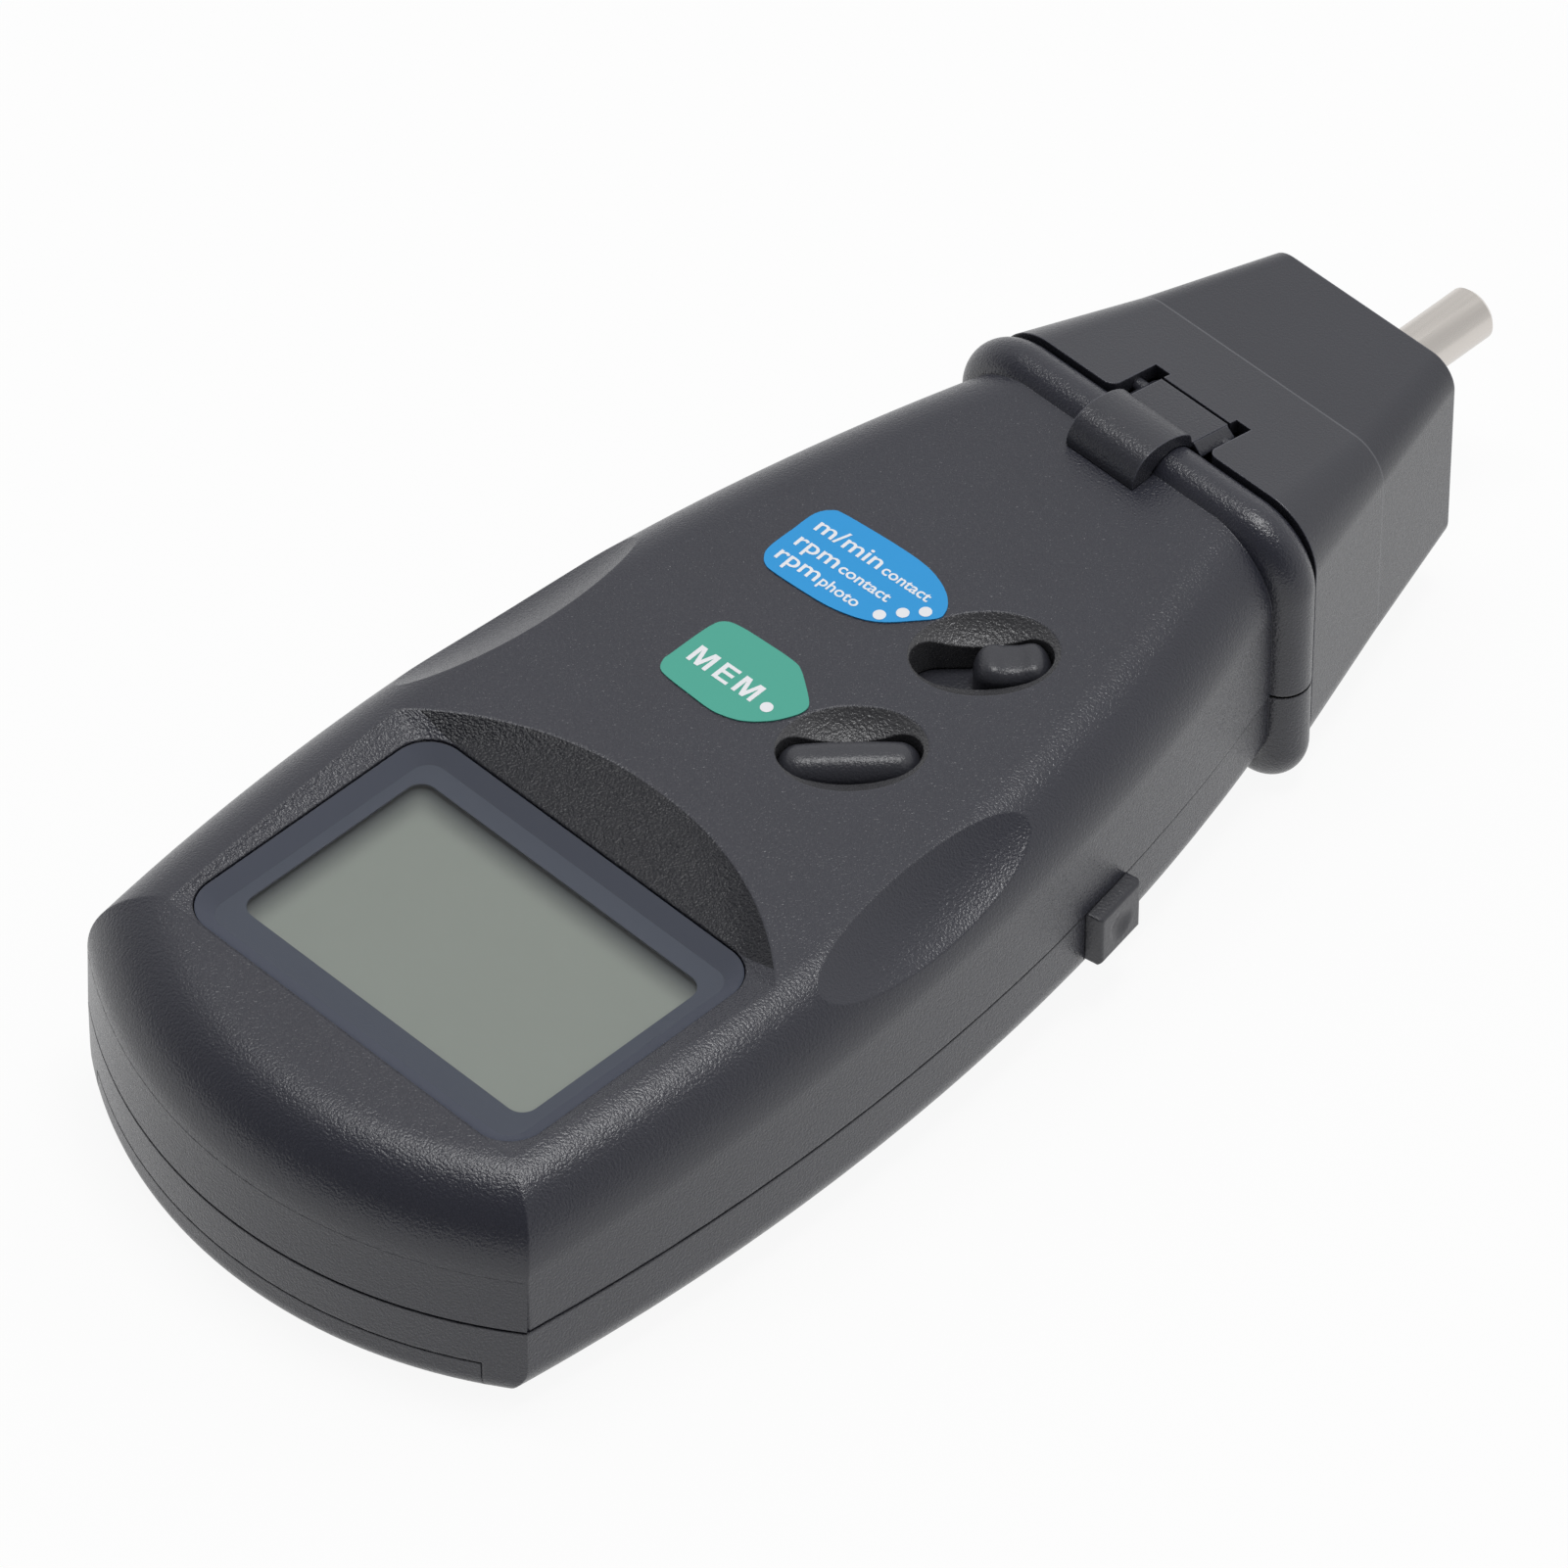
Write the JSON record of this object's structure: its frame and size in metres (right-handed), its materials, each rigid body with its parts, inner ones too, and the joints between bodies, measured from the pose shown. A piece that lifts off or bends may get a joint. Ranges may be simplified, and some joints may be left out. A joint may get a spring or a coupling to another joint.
{
  "type": "laser tachometer",
  "caption": "Handheld laser tachometer with display window, mode slide switch, memory and test buttons, and a clip-on contact adapter with a spinning shaft.",
  "frame": {"origin": "bottom centre of the bounding box, on the lowest line of the nose collar", "axes": "+Y from the display end to the contact shaft's free end, +Z from the back to the display, +X to the test button's side"},
  "size_m": [0.0722, 0.19, 0.0396],
  "materials": {
    "case_plastic": "fine spark texture",
    "adapter_plastic": "satin",
    "key_plastic": "satin",
    "inner_plastic": "matt",
    "white_plastic": "matt",
    "window_clear": "clear acrylic",
    "nose_filter": "tinted clear",
    "mask_print": "printed film",
    "lcd_glass": "blank display",
    "board_green": "solder mask",
    "blue_label": "printed film",
    "green_label": "printed film",
    "nickel_steel": "nickel plate",
    "screw_steel": "zinc plate",
    "spring_steel": "nickel plate",
    "bronze": "sintered",
    "laser_brass": "turned",
    "connector_rubber": "matt",
    "cell_jacket": "plain jacket"
  },
  "bodies": {
    "case": {"upper_case": "case_plastic", "lower_case": "case_plastic", "battery_cells": "cell_jacket", "battery_springs": "spring_steel", "battery_contacts": "spring_steel", "circuit_board": "board_green", "board_screws": "screw_steel", "case_screws": "screw_steel", "display_window": "window_clear", "display_mask": "mask_print", "lcd_panel": "lcd_glass", "lcd_holder": "white_plastic", "lcd_connectors": "connector_rubber", "mode_switch_body": "inner_plastic", "memory_switch": "inner_plastic", "test_switch": "inner_plastic", "mode_label": "blue_label", "memory_label": "green_label", "optics_block": "inner_plastic", "laser_module": "laser_brass", "receiver_lens": "nose_filter", "nose_window": "nose_filter", "adapter_housing": "adapter_plastic", "adapter_cap": "adapter_plastic", "front_bearing": "bronze", "rear_bearing": "bronze", "latch_pin": "adapter_plastic", "microcontroller": "inner_plastic"},
    "door": {"battery_door": "case_plastic"},
    "mode_knob": {"mode_switch_knob": "key_plastic", "mode_switch_stem": "white_plastic"},
    "memory_key": {"memory_button": "key_plastic", "memory_plunger": "white_plastic"},
    "test_key": {"test_button": "key_plastic", "test_plunger": "white_plastic"},
    "shaft": {"contact_shaft": "nickel_steel", "encoder_disc": "inner_plastic"},
    "latch": {"adapter_latch": "adapter_plastic"}
  },
  "joints": [
    {"name": "door_slide", "type": "slide", "parent": "case", "child": "door", "axis": [0, -1, 0], "range_m": [0, 0.068]},
    {"name": "mode_slide", "type": "slide", "parent": "case", "child": "mode_knob", "axis": [0.682, 0.7314, 0], "range_m": [-0.0064, 0]},
    {"name": "memory_press", "type": "slide", "parent": "case", "child": "memory_key", "axis": [0, 0, -1], "range_m": [0, 0.0008], "stiffness_N_per_m": 400},
    {"name": "test_press", "type": "slide", "parent": "case", "child": "test_key", "axis": [-0.984, -0.178, 0], "range_m": [0, 0.001], "stiffness_N_per_m": 400},
    {"name": "shaft_spin", "type": "hinge", "parent": "case", "child": "shaft", "pos_m": [0, 0.076, 0.0185], "axis": [0, 1, 0], "continuous": true},
    {"name": "latch_lift", "type": "hinge", "parent": "case", "child": "latch", "pos_m": [0, 0.0482, 0.0342], "axis": [-1, 0, 0], "range_deg": [0, 15], "stiffness_Nm_per_rad": 0.05}
  ]
}
